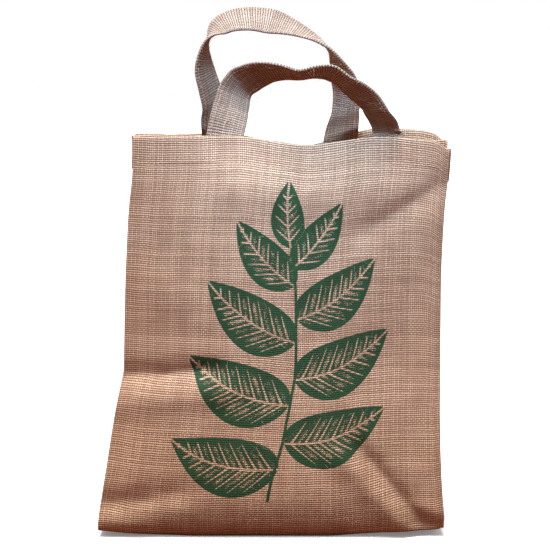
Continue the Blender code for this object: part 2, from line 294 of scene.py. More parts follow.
SEED_STEPS = (7.31, 3.17, 5.71)  # how far apart the places of two seeds lie in the noise


def rumple(points, size, seed):
    """Soft random heights from -1 to 1 over points, with bumps of about that size."""
    shift = Vector([seed * step for step in SEED_STEPS])
    return np.array([noise.noise(Vector(point) / size + shift) for point in points])


print("top edge at x = 0:", round(float(along(TOP_EDGE, 1, np.array(0.0))), 4))

# %% [markdown]
# ## The shape of a panel
# A panel bulges between its side seams, and its folds are added to that bulge. The formula
# for the bulge is nearly flat in the middle and drops near the seams, as cloth between two
# seams does. Every fold is a rounded ridge along a line. Pushing a grid out by a formula
# gives folds that can be placed to the millimetre. A simulation would give folds as well,
# but not the ones that this bag has.


# %% How folds and bulges are added
BULGE_ROUND = 2.6  # 2 for a round bulge, more for one that is flat in the middle


def bulge_share(u):
    """How far a panel bulges at shares across it: 0 at the seams, 1 in the middle."""
    return 1 - np.abs(2 * u - 1) ** BULGE_ROUND


def fold_height(folds, x, z):
    """What the folds add to the bulge at places on a panel."""
    total = np.zeros_like(x)
    for x0, z0, x1, z1, half_width, height in folds:
        run_x, run_z = x1 - x0, z1 - z0
        length = math.hypot(run_x, run_z)
        t = ((x - x0) * run_x + (z - z0) * run_z) / length**2
        beyond = np.maximum(np.maximum(-t, t - 1), 0) * length
        aside = np.hypot(x - x0 - run_x * t, z - z0 - run_z * t)
        fade = (aside / half_width) ** 2 + (beyond / (2 * half_width)) ** 2
        total += height * np.exp(-fade)
    return total


print("a quarter of the way across the bulge is", round(float(bulge_share(np.array(0.25))), 2))


# %% The face of a panel
def panel_depth(x, z, back):
    """Half the bag's depth at places on a panel: the seams, the bulge and the folds."""
    left, right = along(SIDES, 1, z), along(SIDES, 2, z)
    seam, middle = along(SIDES, 3, z), along(SIDES, 4, z)
    u = np.clip((x - left) / (right - left), 0, 1)
    bulge = bulge_share(u)
    folds = BACK_FOLDS if back else FRONT_FOLDS
    creases = BACK_CREASES if back else FRONT_CREASES
    fine = fold_height(creases, x, z) * smooth(0.0, 0.05, bulge)
    return seam + (middle - seam) * bulge + fold_height(folds, x, z) + fine


def panel_top(x, back):
    """The height of a panel's top edge."""
    return along(TOP_EDGE, 2 if back else 1, x)


def panel_edges(u, back):
    """The heights of a panel's bottom and top edges at shares across it."""
    low_x, top_x = (row[1] + (row[2] - row[1]) * u for row in (SIDES[0], SIDES[-1]))
    return along(BOTTOM_EDGE, 1, low_x), panel_top(top_x, back)


middle_depth = panel_depth(np.array(0.0), np.array(0.05), False)
print("half the depth near the bottom in mm:", round(1000 * float(middle_depth), 1))


# %% [markdown]
# ## From a flat grid to a bent cloth
# Cloth starts flat, so each piece starts as a flat grid from bmesh, and a function says
# where each point of it goes. The flat place of each point, in metres, is kept as the UV
# map. The weave is drawn on that map later, so it follows every fold as real threads do.
# The Solidify modifier gives the sheet its thickness on the inner side.


# %% Bend a grid
def place_piece(name, mesh):
    """Puts a mesh in the scene as a smooth piece."""
    mesh.name = name
    mesh.shade_smooth()
    return add_object(name, mesh)


def finish_piece(name, shape):
    """Turns a bmesh into a piece."""
    mesh = bpy.data.meshes.new(name)
    shape.to_mesh(mesh)
    shape.free()
    return place_piece(name, mesh)


def bend_grid(name, cells, place, merge=False):
    """A grid whose points go to place(i, j), with its flat places as its UV map."""
    shape = bmesh.new()
    bmesh.ops.create_grid(shape, x_segments=cells[0], y_segments=cells[1], size=0.5)
    shape.verts.index_update()
    shares = np.array([(vertex.co.x + 0.5, vertex.co.y + 0.5) for vertex in shape.verts])
    points, flat = place(shares[:, 0], shares[:, 1])
    for vertex, point in zip(shape.verts, points):
        vertex.co = point
    threads = shape.loops.layers.uv.new("cloth")
    for face in shape.faces:
        for loop in face.loops:
            loop[threads].uv = flat[loop.vert.index]
    if merge:
        bmesh.ops.remove_doubles(shape, verts=shape.verts, dist=0.00001)
        rims = [edge for edge in shape.edges if edge.is_boundary]
        bmesh.ops.holes_fill(shape, edges=rims, sides=0)
        bmesh.ops.recalc_face_normals(shape, faces=shape.faces)
    return finish_piece(name, shape)


def thicken(thing):
    """Gives a sheet the thickness of the cloth, inwards from its outer face."""
    wall = thing.modifiers.new("Thickness", "SOLIDIFY")
    wall.thickness = CLOTH
    wall.offset = -1.0
    wall.use_even_offset = True


# %% [markdown]
# ## The two panels, with their hems
# A maker turns the top of each panel down inside and stitches it, which is the hem, and
# turns the side edges in where the gusset is sewn on. One sheet can do all three: the grid
# runs up the outside, over the top edge in a half circle and down inside, and its first and
# last columns turn round the side seams. So the hem is part of its cloth, with a real fold.

# %% How a panel's edges turn
PANEL_CELLS = (152, 184)
ROLL_CELLS = 5  # columns that turn round each side seam
FOLD_CELLS = 5  # rows that turn over the top
HEM_CELLS = 12  # rows of the hem inside
SEAM_CALM = 1 / 14  # share of the width beside each seam over which the cloth calms
FLOOR_CALM = (0.004, 0.03)  # heights between which it calms above the floor
# How uneven the cloth is. Columns: size of the bumps, height, seeds in front and behind.
UNEVEN = (
    (0.045, 0.0007, 1, 2),
    (0.016, 0.00035, 3, 4),
)


def turn_sides(i):
    """Shares across the face, the side of a turned edge, and its angle of turn."""
    cell = i * PANEL_CELLS[0]
    u = np.clip((cell - ROLL_CELLS) / (PANEL_CELLS[0] - 2 * ROLL_CELLS), 0, 1)
    past_left = np.clip(ROLL_CELLS - cell, 0, None)
    past_right = np.clip(cell - (PANEL_CELLS[0] - ROLL_CELLS), 0, None)
    return u, np.sign(past_right - past_left), (past_left + past_right) * math.pi / ROLL_CELLS


def turn_top(j, cells):
    """Shares up the face, the angle of turn over the top, and the depth of hem inside."""
    cell = j * cells
    face = cells - FOLD_CELLS - HEM_CELLS
    v = np.clip(cell / face, 0, 1)
    turn = np.clip((cell - face) / FOLD_CELLS, 0, 1) * math.pi
    return v, turn, np.clip((cell - face - FOLD_CELLS) / HEM_CELLS, 0, 1) * HEM_DEPTH


def panel_place(back):
    """Returns the function that bends a panel's grid."""

    def place(i, j):
        u, side, turned = turn_sides(1 - i if back else i)
        v, over, down = turn_top(j, PANEL_CELLS[1])
        low, top = panel_edges(u, back)
        z = low + (top - HEM_ROLL - low) * v + HEM_ROLL * np.sin(over) - down
        left = along(SIDES, 1, z) + EDGE_ROLL
        right = along(SIDES, 2, z) - EDGE_ROLL
        x = left + (right - left) * u + side * EDGE_ROLL * np.sin(turned)
        inside = HEM_ROLL * (1 - np.cos(over)) + EDGE_ROLL * (1 - np.cos(turned))
        points = np.column_stack([x, np.zeros_like(x), z])
        uneven = sum(height * rumple(points, size, seeds[back]) for size, height, *seeds in UNEVEN)
        uneven *= np.clip(np.minimum(u, 1 - u) / SEAM_CALM, 0, 1) * smooth(*FLOOR_CALM, z)
        depth = panel_depth(x, z, back) + uneven - inside
        points[:, 1] = depth if back else -depth
        across = (u - 0.5) * PANEL_WIDTH + side * turned * EDGE_ROLL
        up = v * PANEL_HEIGHT + over * HEM_ROLL + down
        return points, np.column_stack([across, up])

    return place


print("columns and rows of a panel:", PANEL_CELLS)

# %% Make the panels
front_cloth = bend_grid("front_cloth", PANEL_CELLS, panel_place(False))
back_cloth = bend_grid("back_cloth", PANEL_CELLS, panel_place(True))
for panel in (front_cloth, back_cloth):
    thicken(panel)
print("panel grid:", len(front_cloth.data.polygons), "faces")

# %% [markdown]
# ## The gusset
# The gusset is one strip that runs down a side, under the bottom and up the other side. It
# is wider than the bag is deep, so at the sides it folds inwards, as on a paper carrier. Its
# spare width at each height says how deep that fold goes. The strip ends in hems of its own.
# Its shape comes from the panels' seams: at each step along them it spans from the front
# seam to the back seam.

# %% Where the gusset runs
GUSSET_CELLS = (420, 44)
FOLD_START = 0.012  # height above which the fold opens inwards
FOLD_RAMP = 0.050  # height over which it reaches its full depth
FOLD_SHAPE = 1.2  # 1 for a fold with straight walls, 2 for a round one
FOLD_ROUND = 0.08  # how blunt the fold's crease is
CORNER = 0.010  # length of seam over which the strip turns under the bag
HEM_RAMP = 0.004  # length over which the sewn layers thin out below the hem
HEM_CROWD = 0.0026  # room for the hem's second layer beside the panel
SEAM_TUCK = 0.0010  # how far the gusset's edges reach under the panels' turned ones
SLOPE_STEP = 0.002  # share of the strip over which its slope is measured
SEAM_LENGTH = 2 * PANEL_HEIGHT + PANEL_WIDTH
print("the gusset's seam in mm:", 1000 * SEAM_LENGTH)


# %% Follow the panels' seams
def seam_point(t):
    """Shares across and up the panel at a share of the seam, and how level it runs there."""
    seam = t * SEAM_LENGTH
    corners = (PANEL_HEIGHT, PANEL_HEIGHT + PANEL_WIDTH)
    v = np.clip(1 - seam / PANEL_HEIGHT, 0, 1)
    v = v + np.clip((seam - corners[1]) / PANEL_HEIGHT, 0, 1)
    u = 1 - np.clip((seam - corners[0]) / PANEL_WIDTH, 0, 1)
    first, second = (smooth(corner - CORNER, corner + CORNER, seam) for corner in corners)
    return u, v, first, second


def seam_edge(u, v, back):
    """Points of a panel's outer face at its edge."""
    low, top = panel_edges(u, back)
    z = low + (top - low) * v
    left, right = along(SIDES, 1, z), along(SIDES, 2, z)
    x = left + (right - left) * u
    seam, middle = along(SIDES, 3, z), along(SIDES, 4, z)
    folds = fold_height(BACK_FOLDS if back else FRONT_FOLDS, x, z)
    depth = seam + (middle - seam) * bulge_share(u) + folds
    return np.column_stack([x, depth if back else -depth, z])


# %% Fold the strip between the seams
def gusset_base(t, j):
    """Points of the gusset's outer face: t runs along the seam, j from front to back."""
    u, v, first, second = seam_point(t)
    front, back = seam_edge(u, v, False), seam_edge(u, v, True)
    inward = np.column_stack([second + first - 1, 0 * t, first - second])
    inward /= np.linalg.norm(inward, axis=1)[:, None]
    height = (front[:, 2] + back[:, 2]) / 2
    top = panel_top(front[:, 0], False)
    hemmed = smooth(HEM_DEPTH + HEM_RAMP, HEM_DEPTH, top - front[:, 2])
    half = np.linalg.norm(back - front, axis=1) / 2 - 2 * EDGE_ROLL
    spare = np.sqrt(np.maximum((GUSSET_WIDTH / 2) ** 2 - half**2, 0))
    level = np.abs(inward[:, 2])
    depth = spare * smooth(FOLD_START, FOLD_START + FOLD_RAMP, height) * (1 - level)
    lean = FOLD_SHAPE * depth / half
    inset = CLOTH * lean / np.sqrt(1 + lean**2) + SEWN_GAP
    inset = inset + np.where(level > 0.5, CLOTH, 2 * EDGE_ROLL - SEAM_TUCK) + HEM_CROWD * hemmed
    front[:, 1] += inset
    back[:, 1] -= inset
    aside = np.sqrt((2 * j - 1) ** 2 + FOLD_ROUND**2)
    fold = depth * np.maximum(1 - aside**FOLD_SHAPE, 0)
    return front + (back - front) * j[:, None] + inward * fold[:, None]


# %% Bend the gusset, with a hem at each end
def turn_ends(i):
    """Shares along the seam, the angle of turn over a hem, and the depth of hem inside."""
    ends = FOLD_CELLS + HEM_CELLS
    cell = i * GUSSET_CELLS[0]
    from_end = np.minimum(cell, GUSSET_CELLS[0] - cell)
    t = np.clip((cell - ends) / (GUSSET_CELLS[0] - 2 * ends), 0, 1)
    over = np.clip((ends - from_end) / FOLD_CELLS, 0, 1) * math.pi
    return t, over, np.clip((HEM_CELLS - from_end) / HEM_CELLS, 0, 1) * HEM_DEPTH


def gusset_place(i, j):
    """Bends the gusset's grid, with its hems turned in."""
    t, over, down = turn_ends(i)
    back_down = np.where(t > 0.5, -1, 1)
    level = t + back_down * down / SEAM_LENGTH
    ahead, behind = np.clip(level + SLOPE_STEP, 0, 1), np.clip(level - SLOPE_STEP, 0, 1)
    rear, fore = np.clip(j + SLOPE_STEP, 0, 1), np.clip(j - SLOPE_STEP, 0, 1)
    along_seam = gusset_base(ahead, j) - gusset_base(behind, j)
    across = gusset_base(level, rear) - gusset_base(level, fore)
    inner = np.cross(across, along_seam)
    inner /= np.linalg.norm(inner, axis=1)[:, None]
    points = gusset_base(level, j) + inner * (HEM_ROLL * (1 - np.cos(over)))[:, None]
    points[:, 2] += HEM_ROLL * np.sin(over)
    flat_t = (t - 0.5) * SEAM_LENGTH - back_down * (over * HEM_ROLL + down)
    return points, np.column_stack([(j - 0.5) * GUSSET_WIDTH, flat_t])


gusset_cloth = bend_grid("gusset_cloth", GUSSET_CELLS, gusset_place)
thicken(gusset_cloth)
print("gusset grid:", len(gusset_cloth.data.polygons), "faces")

# %% [markdown]
# ## The straps
# Each handle is a strip of the same burlap, folded lengthways until it is a flat tube with
# soft round edges, and stitched near both edges. A flat tube is made like a sheet: a grid
# is wrapped round the middle line, and the column where it meets itself is merged. Where a
# strap goes down inside the hem it lies flat against it.

# %% Wrap a strap round its middle line
STRAP_CELLS = (230, 48)  # along, and round the strap
FREE_ABOVE = 0.004  # height over the hem at which a strap is free of it
FREE_RAMP = 0.012  # height over which it comes free
SEWN_LINE = 0.0135  # from the middle of the strap to the stitches near its edges
SEWN_PINCH = 0.00035  # how far the stitches pull the strap's faces together
PINCH_WIDTH = 0.0009  # how far from the stitches that shows
STRAP_SWELL = 0.00030  # how far its faces swell between them
STRAP_UNEVEN = 0.03  # share by which its width varies
STRAP_STEP = 0.004  # share of its length over which its way is measured


def strap_frame(table, at):
    """Middle points, ways across and ways out at shares of a strap's length."""
    rows = curve_points(table, at)
    ahead = curve_points(table, np.clip(at + STRAP_STEP, 0, 1))
    behind = curve_points(table, np.clip(at - STRAP_STEP, 0, 1))
    way = (ahead - behind)[:, :3]
    way /= np.linalg.norm(way, axis=1)[:, None]
    width = rows[:, 3:6]
    width = width - way * np.sum(width * way, axis=1)[:, None]
    width /= np.linalg.norm(width, axis=1)[:, None]
    return rows[:, :3], width, np.cross(way, width)


def strap_length(table):
    """The length of a strap's middle line."""
    points = curve_points(table, np.linspace(0, 1, 400))[:, :3]
    return float(np.linalg.norm(np.diff(points, axis=0), axis=1).sum())


for table in (FRONT_STRAP, BACK_STRAP):
    print("a strap of", round(1000 * strap_length(table)), "mm")


# %% Lay the feet on the hem and shape the section
def against_hem(points, back):
    """Lays the middle of a strap's feet against the inside of the hem."""
    x, z = points[:, 0], points[:, 2]
    hem_face = panel_depth(x, z, back) - 2 * HEM_ROLL - SEWN_GAP
    sewn = (1 if back else -1) * (hem_face - STRAP_THICKNESS / 2)
    held = np.clip((panel_top(x, back) + FREE_ABOVE - z) / FREE_RAMP, 0, 1)
    points[:, 1] += (sewn - points[:, 1]) * held
    return points


def strap_section(round_share):
    """Places across a strap and out of it, at shares of the way round its section."""
    edge = STRAP_THICKNESS / 2
    flat = STRAP_WIDTH - 2 * edge
    corners = np.cumsum([0, flat, math.pi * edge, flat, math.pi * edge])
    walk = round_share * corners[-1]
    turn = np.interp(walk, corners, [0, 0, math.pi, math.pi, 2 * math.pi])
    middle = np.interp(walk, corners, np.array([-1, 1, 1, -1, -1]) * flat / 2)
    across = middle + edge * np.sin(turn)
    swell = STRAP_SWELL * (1 - (across / (STRAP_WIDTH / 2)) ** 4)
    pinch = SEWN_PINCH * np.exp(-(((np.abs(across) - SEWN_LINE) / PINCH_WIDTH) ** 2))
    return across, (edge + swell - pinch) * np.cos(turn), walk


# %% Wrap the straps
def strap_place(table, back, seed):
    """Returns the function that wraps a strap's grid."""
    length = strap_length(table)

    def place(i, j):
        across, out, walk = strap_section(j)
        middle, width, outward = strap_frame(table, i)
        wobble = rumple(np.column_stack([i, 0 * i, 0 * i]), 0.06, seed)
        across = across * (1 + STRAP_UNEVEN * wobble)
        centre = against_hem(middle + width * across[:, None], back)
        return centre + outward * out[:, None], np.column_stack([walk, i * length])

    return place


front_strap = bend_grid("front_strap", STRAP_CELLS, strap_place(FRONT_STRAP, False, 5), True)
back_strap = bend_grid("back_strap", STRAP_CELLS, strap_place(BACK_STRAP, True, 6), True)
print("faces of a strap:", len(front_strap.data.polygons))

# %% [markdown]
# ## Threads as thin curves
# Stitches and stray hairs are single threads. Each could be a tube built face by face. A
# curve with a thickness and a taper says the same in five points, and one curve object can
# hold hundreds of threads. At the end it is turned into a mesh.


# %% Make thin curves
def thin_curve(name, half_thickness, sides=4):
    """An empty curve object's data, whose lines are round threads."""
    curve = bpy.data.curves.new(name, "CURVE")
    curve.dimensions = "3D"
    curve.bevel_depth = half_thickness
    curve.bevel_resolution = sides // 2 - 2
    curve.use_fill_caps = True
    return curve


def add_thread(curve, points, radii):
    """Adds one thread through the points, with its thickness at each."""
    spline = curve.splines.new("POLY")
    spline.points.add(len(points) - 1)
    for slot, point, radius in zip(spline.points, points, radii):
        slot.co = (*point, 1)
        slot.radius = radius


def curve_piece(name, curve):
    """Turns a curve with thickness into a mesh piece."""
    holder = add_object("holder", curve)
    shown = holder.evaluated_get(bpy.context.evaluated_depsgraph_get())
    mesh = bpy.data.meshes.new_from_object(shown)
    bpy.data.objects.remove(holder)
    return place_piece(name, mesh)


# %% [markdown]
# ## Stitches
# A seam in burlap is a row of short slanted lumps of jute thread. Each dips into the cloth
# at both ends and is pulled flat between them. A dashed texture would do from far away, but
# up close a stitch has a round body, so each one is a short thread that bends into the
# cloth. All stitches of one seam are joined in one mesh.

# %% Lay a row of stitches
STITCH_PITCH = 0.0042
STITCH_LENGTH = 0.0034
STITCH_THICK = 0.00036  # half the thread's thickness
STITCH_SLANT = 0.12  # how far a stitch turns from its line
STITCH_STEPS = (-1, -0.7, 0, 0.7, 1)  # where its points lie, from one end to the other
STITCH_TAPER = (0.6, 1, 1, 1, 0.6)
STITCH_LIFT = 0.0002  # how high its middle stands on the cloth
STITCH_DIP = 0.0006  # how far its ends go down from there
LINE_STEP = 0.0005  # length over which the way of a seam is measured


def sew(curve, line, out):
    """Adds stitches along a line of points; out is the way out of the cloth at each."""
    walked = np.concatenate([[0], np.cumsum(np.linalg.norm(np.diff(line, axis=0), axis=1))])
    for at in np.arange(STITCH_PITCH / 2, walked[-1], STITCH_PITCH):
        middle, ahead, facing = (
            Vector([np.interp(where, walked, values[:, axis]) for axis in range(3)])
            for where, values in ((at, line), (at + LINE_STEP, line), (at, out))
        )
        way = (ahead - middle).normalized()
        way = (way + STITCH_SLANT * facing.cross(way)) * STITCH_LENGTH / 2
        steps = [(t, STITCH_LIFT - STITCH_DIP * t**4) for t in STITCH_STEPS]
        points = [middle + way * t + facing * lift for t, lift in steps]
        add_thread(curve, points, STITCH_TAPER)


print("stitches in 100 mm of seam:", round(0.1 / STITCH_PITCH))

# %% Sew the hems and the handles
HEM_STITCHES = 0.024  # from the top edge down to the hem's stitches
HEM_REACH = (-0.126, 0.159)  # where the row starts and ends


def hem_line(back, inside):
    """Points on a panel a little below its top edge, and the way out of the cloth there."""
    x = np.linspace(*HEM_REACH, 140)
    z = panel_top(x, back) - HEM_STITCHES
    side = 1 if back else -1
    depth = panel_depth(x, z, back) - (2 * HEM_ROLL if inside else 0)
    out = np.tile([0.0, -side if inside else side, 0.0], (len(x), 1))
    return np.column_stack([x, side * depth, z]), out


stitches = thin_curve("hem_thread", STITCH_THICK, 6)
for back in (False, True):
    for inside in (False, True):
        sew(stitches, *hem_line(back, inside))
hem_stitches = curve_piece("hem_stitches", stitches)

stitches = thin_curve("strap_thread", STITCH_THICK, 6)
for table, back in ((FRONT_STRAP, False), (BACK_STRAP, True)):
    middle, width, outward = strap_frame(table, np.linspace(0, 1, 260))
    for offset in (-SEWN_LINE, SEWN_LINE):
        line = against_hem(middle + width * offset, back)
        for face in (-1, 1):
            sew(stitches, line + outward * face * STRAP_THICKNESS / 2, outward * face)
strap_stitches = curve_piece("strap_stitches", stitches)
print("stitch faces:", len(hem_stitches.data.polygons) + len(strap_stitches.data.polygons))

# %% [markdown]
# ## Stray fibres
# Jute sheds: short hairs stand off the cloth everywhere, and they are what makes its edge
# look soft. A hair system would grow them, but it would need its own render settings. So
# the hairs here are thin bent threads, sown over the faces at random with a fixed seed. One
# longer loose end hangs at the left foot of the front handle, where a seam's thread was cut.

# %% Sow the fibres
FIBRE = 0.00006  # half the thickness of a hair at its root
HAIR_LENGTHS = (0.003, 0.010)  # the shortest and the longest hair
HAIR_SHARES = (0, 0.25, 0.5, 0.75, 1)  # where along a hair its points lie
# As shares of its length: how far a hair leans along the cloth, rises off it, is rooted in
# it and curls aside at most. Its bend is an angle.
HAIR_LEAN, HAIR_RISE, HAIR_SINK, HAIR_CURL = 0.9, 0.34, 0.02, 0.7
HAIR_BEND = 1.9
HAIR_TAPER = 0.7
ROOT_DEPTH = 0.0001
CLEAR_OF_FLOOR = 0.012  # height above which hairs have room to stand
# How many hairs each cloth has.
HAIRS = (
    (front_cloth, 520),
    (back_cloth, 420),
    (gusset_cloth, 420),
    (front_strap, 260),
    (back_strap, 260),
)
# The loose end's bends. Columns: x, y, z.
LOOSE_END = (
    (-0.0452, -0.0150, 0.3765),
    (-0.0440, -0.0158, 0.3810),
    (-0.0420, -0.0152, 0.3850),
    (-0.0395, -0.0146, 0.3868),
    (-0.0372, -0.0142, 0.3852),
)
LOOSE_THICK = 0.00035  # half its thickness
LOOSE_TAPER = (1, 1, 1, 0.8, 0.4)


def add_hair(curve, root, out, chance):
    """Adds one hair that leaves the cloth, bends and comes back towards it."""
    way = out.orthogonal()
    way.rotate(Matrix.Rotation(chance.uniform(0, math.tau), 3, out))
    aside = way.cross(out) * chance.uniform(-HAIR_CURL, HAIR_CURL)
    length = chance.uniform(*HAIR_LENGTHS)
    points = []
    for t in HAIR_SHARES:
        rise = HAIR_RISE * math.sin(HAIR_BEND * t) - HAIR_SINK
        points.append(root + length * (way * t * HAIR_LEAN + out * rise + aside * t * t))
    add_thread(curve, points, [1 - HAIR_TAPER * t for t in HAIR_SHARES])


print("hairs to sow:", sum(count for cloth, count in HAIRS))

# %% Make the fibres and the loose end
chance = random.Random(11)
hairs = thin_curve("hairs", FIBRE)
for cloth, count in HAIRS:
    clear = [face for face in cloth.data.polygons if face.center.z > CLEAR_OF_FLOOR]
    for face in chance.choices(clear, k=count):
        root = face.center - face.normal * ROOT_DEPTH
        add_hair(hairs, root, Vector(face.normal), chance)
stray_fibres = curve_piece("stray_fibres", hairs)

loose = thin_curve("loose_end", LOOSE_THICK, 6)
add_thread(loose, LOOSE_END, LOOSE_TAPER)
loose_thread = curve_piece("loose_thread", loose)
print("fibre faces:", len(stray_fibres.data.polygons))

# %% [markdown]
# ## The print
# A leafy sprig is printed on the front in green. A picture could be stretched over the
# panel. Here each leaf is a row of a table, and every point of the cloth is told how far
# inside a leaf it lies, how far along it and how far beside its midrib. The ink shader
# turns those three numbers into an outline, veins and worn patches, so the print stays
# sharp from near and moves with the folds.

# %% The leaves
# Places on the flat panel: x from its middle line, height from its bottom seam. Columns:
# x and height of the leaf's foot, its angle, length, half width, and bend.
LEAVES = (
    (0.004, 0.068, 167, 0.109, 0.0275, 0.10),
    (0.010, 0.127, 158, 0.113, 0.0285, 0.10),
    (0.013, 0.186, 149, 0.105, 0.0270, 0.09),
    (0.011, 0.240, 137, 0.083, 0.0215, 0.07),
    (0.008, 0.092, 16, 0.101, 0.0265, -0.10),
    (0.013, 0.151, 24, 0.103, 0.0275, -0.10),
    (0.014, 0.208, 34, 0.094, 0.0255, -0.09),
    (0.010, 0.258, 52, 0.074, 0.0195, -0.06),
    (0.006, 0.276, 96, 0.064, 0.0170, 0.03),
)
# The stem. Columns: height, x.
STEM = ((0.036, -0.004), (0.100, 0.008), (0.180, 0.014), (0.240, 0.012), (0.285, 0.008))
STEM_HALF = 0.0016
LEAF_FULLNESS = 2.68  # makes the widest place as wide as the table says
LEAF_FOOT, LEAF_TIP = 0.55, 0.95  # how bluntly a leaf starts, how finely it ends
print("leaves:", len(LEAVES))


# %% Find the nearest leaf for each point of the cloth
# What the ink is told, and the name under which the cloth keeps it.
STORED = {
    "Inside": "leaf_inside",
    "Along": "leaf_along",
    "Aside": "leaf_aside",
    "Stem": "stem_inside",
}


def leaf_places(x, z, leaf):
    """How far inside a leaf points lie, and where they lie along it and beside its midrib."""
    foot_x, foot_z, angle, length, half_width, bend = leaf
    turn = math.radians(angle)
    ahead = (x - foot_x) * math.cos(turn) + (z - foot_z) * math.sin(turn)
    aside = (z - foot_z) * math.cos(turn) - (x - foot_x) * math.sin(turn)
    share = ahead / length
    aside = aside + bend * length * 4 * share * (share - 1)
    inner = np.clip(share, 0.0001, 0.9999)
    room = LEAF_FULLNESS * half_width * inner**LEAF_FOOT * (1 - inner) ** LEAF_TIP
    beyond = np.maximum(np.maximum(-share, share - 1), 0) * length
    return room - np.abs(aside) - 3 * beyond, ahead, aside


def draw_sprig(mesh, flat):
    """Stores on each point of a cloth how it lies to the nearest leaf and to the stem."""
    x, z = flat[:, 0], flat[:, 1]
    found = [leaf_places(x, z, leaf) for leaf in LEAVES]
    inside = np.array([places[0] for places in found])
    best = inside.argmax(axis=0)
    rows = np.arange(len(x))
    stem = STEM_HALF - np.abs(x - along(STEM, 1, z))
    stem = np.minimum(stem, np.minimum(z - STEM[0][0], STEM[-1][0] - z))
    values = [np.array([places[n] for places in found])[best, rows] for n in range(3)]
    for name, value in zip(STORED.values(), (*values, stem)):
        stored = mesh.attributes.new(name, "FLOAT", "POINT").data
        stored.foreach_set("value", value.astype(np.float32))
    return float((values[0] > 0).mean())


flat = np.zeros((len(front_cloth.data.vertices), 2))
threads = front_cloth.data.uv_layers["cloth"].data
for loop in front_cloth.data.loops:
    flat[loop.vertex_index] = threads[loop.index].uv
print("share of the front under leaves:", round(draw_sprig(front_cloth.data, flat), 2))

# %% [markdown]
# ## The weave as a shader
# Burlap is a plain weave: each thread goes over one crossing thread and under the next. So
# the height of a thread is a wave along it, and the wave flips from one thread to the next.
# Across, a thread is a half circle. The higher of the two sets of threads is the one that
# shows, and where neither reaches there is a gap, which the material fills with painted shade.
# Modelling every thread would take millions of faces, and the lumps are smaller than a pixel
# here, so the weave is drawn by a shader group from the flat places of the cloth. Slow noise
# moves the threads aside, and makes them thick and thin, as spun jute is. The level threads
# stand out a little further, so that they show as rows.


# %% Helpers for shader nodes
def node(tree, kind, *values, **settings):
    """Adds a node, with its first inputs set or linked."""
    made = tree.nodes.new(kind)
    for key, value in settings.items():
        setattr(made, key, value)
    for socket, value in zip(made.inputs, values):
        feed(tree, socket, value)
    return made


def feed(tree, socket, value):
    """Links a socket's source to an input, or sets a constant."""
    if isinstance(value, bpy.types.NodeSocket):
        tree.links.new(value, socket)
    elif value is not None:
        socket.default_value = value


def maths(tree, operation, *values):
    """The result of a sum on numbers."""
    return node(tree, "ShaderNodeMath", *values, operation=operation).outputs[0]


def vector_maths(tree, operation, *values):
    """The result of a sum on vectors."""
    return node(tree, "ShaderNodeVectorMath", *values, operation=operation).outputs[0]


def join_xyz(tree, *values):
    """Three numbers as one vector."""
    return node(tree, "ShaderNodeCombineXYZ", *values).outputs[0]


# %% Helpers for noise, steps and mixes
def noise_node(tree, place, scale, detail=2.0, rough=0.5):
    """A noise node at a place, with features of about 1 / scale metres."""
    made = node(tree, "ShaderNodeTexNoise")
    feed(tree, made.inputs["Vector"], place)
    made.inputs["Scale"].default_value = scale
    made.inputs["Detail"].default_value = detail
    made.inputs["Roughness"].default_value = rough
    return made


def ramp(tree, value, low, high, to_low=0.0, to_high=1.0):
    """A smooth step from to_low to to_high."""
    made = node(tree, "ShaderNodeMapRange", value, low, high, to_low, to_high)
    made.interpolation_type = "SMOOTHSTEP"
    return made.outputs[0]


def blend(tree, share, first, second):
    """Mixes two colours."""
    made = node(tree, "ShaderNodeMix", data_type="RGBA")
    for index, value in ((0, share), (6, first), (7, second)):
        feed(tree, made.inputs[index], value)
    return made.outputs[2]


def pick(tree, share, first, second):
    """The second number where share is 1, the first where it is 0."""
    made = node(tree, "ShaderNodeMix", share, data_type="FLOAT")
    feed(tree, made.inputs[2], first)
    feed(tree, made.inputs[3], second)
    return made.outputs[0]


# %% Helpers for node groups
def new_group(name, inputs, outputs):
    """A node group with its input sockets and its output sockets."""
    tree = bpy.data.node_groups.new(name, "ShaderNodeTree")
    for label, kind in inputs:
        tree.interface.new_socket(label, in_out="INPUT", socket_type="NodeSocket" + kind)
    for label, kind in outputs:
        tree.interface.new_socket(label, in_out="OUTPUT", socket_type="NodeSocket" + kind)
    return tree, tree.nodes.new("NodeGroupInput").outputs, tree.nodes.new("NodeGroupOutput").inputs


def use_group(tree, group, **values):
    """Places a group in a material, with its inputs linked, and gives its outputs."""
    made = node(tree, "ShaderNodeGroup", node_tree=group)
    for label, value in values.items():
        feed(tree, made.inputs[label], value)
    return made.outputs


# %% One set of parallel threads
PITCH = 0.00205  # from one thread to the next
# The upright threads lie close and deep, the level ones stand out as rows. Half widths
# are in pitches, and a wave and a rise are shares of a thread's height.
WARP = {"half_width": 0.52, "wave_height": 0.46, "rise": -0.14}
WEFT = {"half_width": 0.35, "wave_height": 0.30, "rise": 0.16}
SLUBS = (3.7, 0.13)  # how fast a thread's thickness changes across and along it
FIBRES = (7.0, 0.9)  # how fast its fibres do
BODY = 0.9  # share of its height that its round section makes


def along_thread(tree, places, scales, seed, detail, rough=0.5):
    """Noise stretched along a thread, from a place across it, one along it and their scales."""
    scaled = [maths(tree, "MULTIPLY", place, scale) for place, scale in zip(places, scales)]
    return noise_node(tree, join_xyz(tree, *scaled, seed), 1.0, detail, rough).outputs[0]


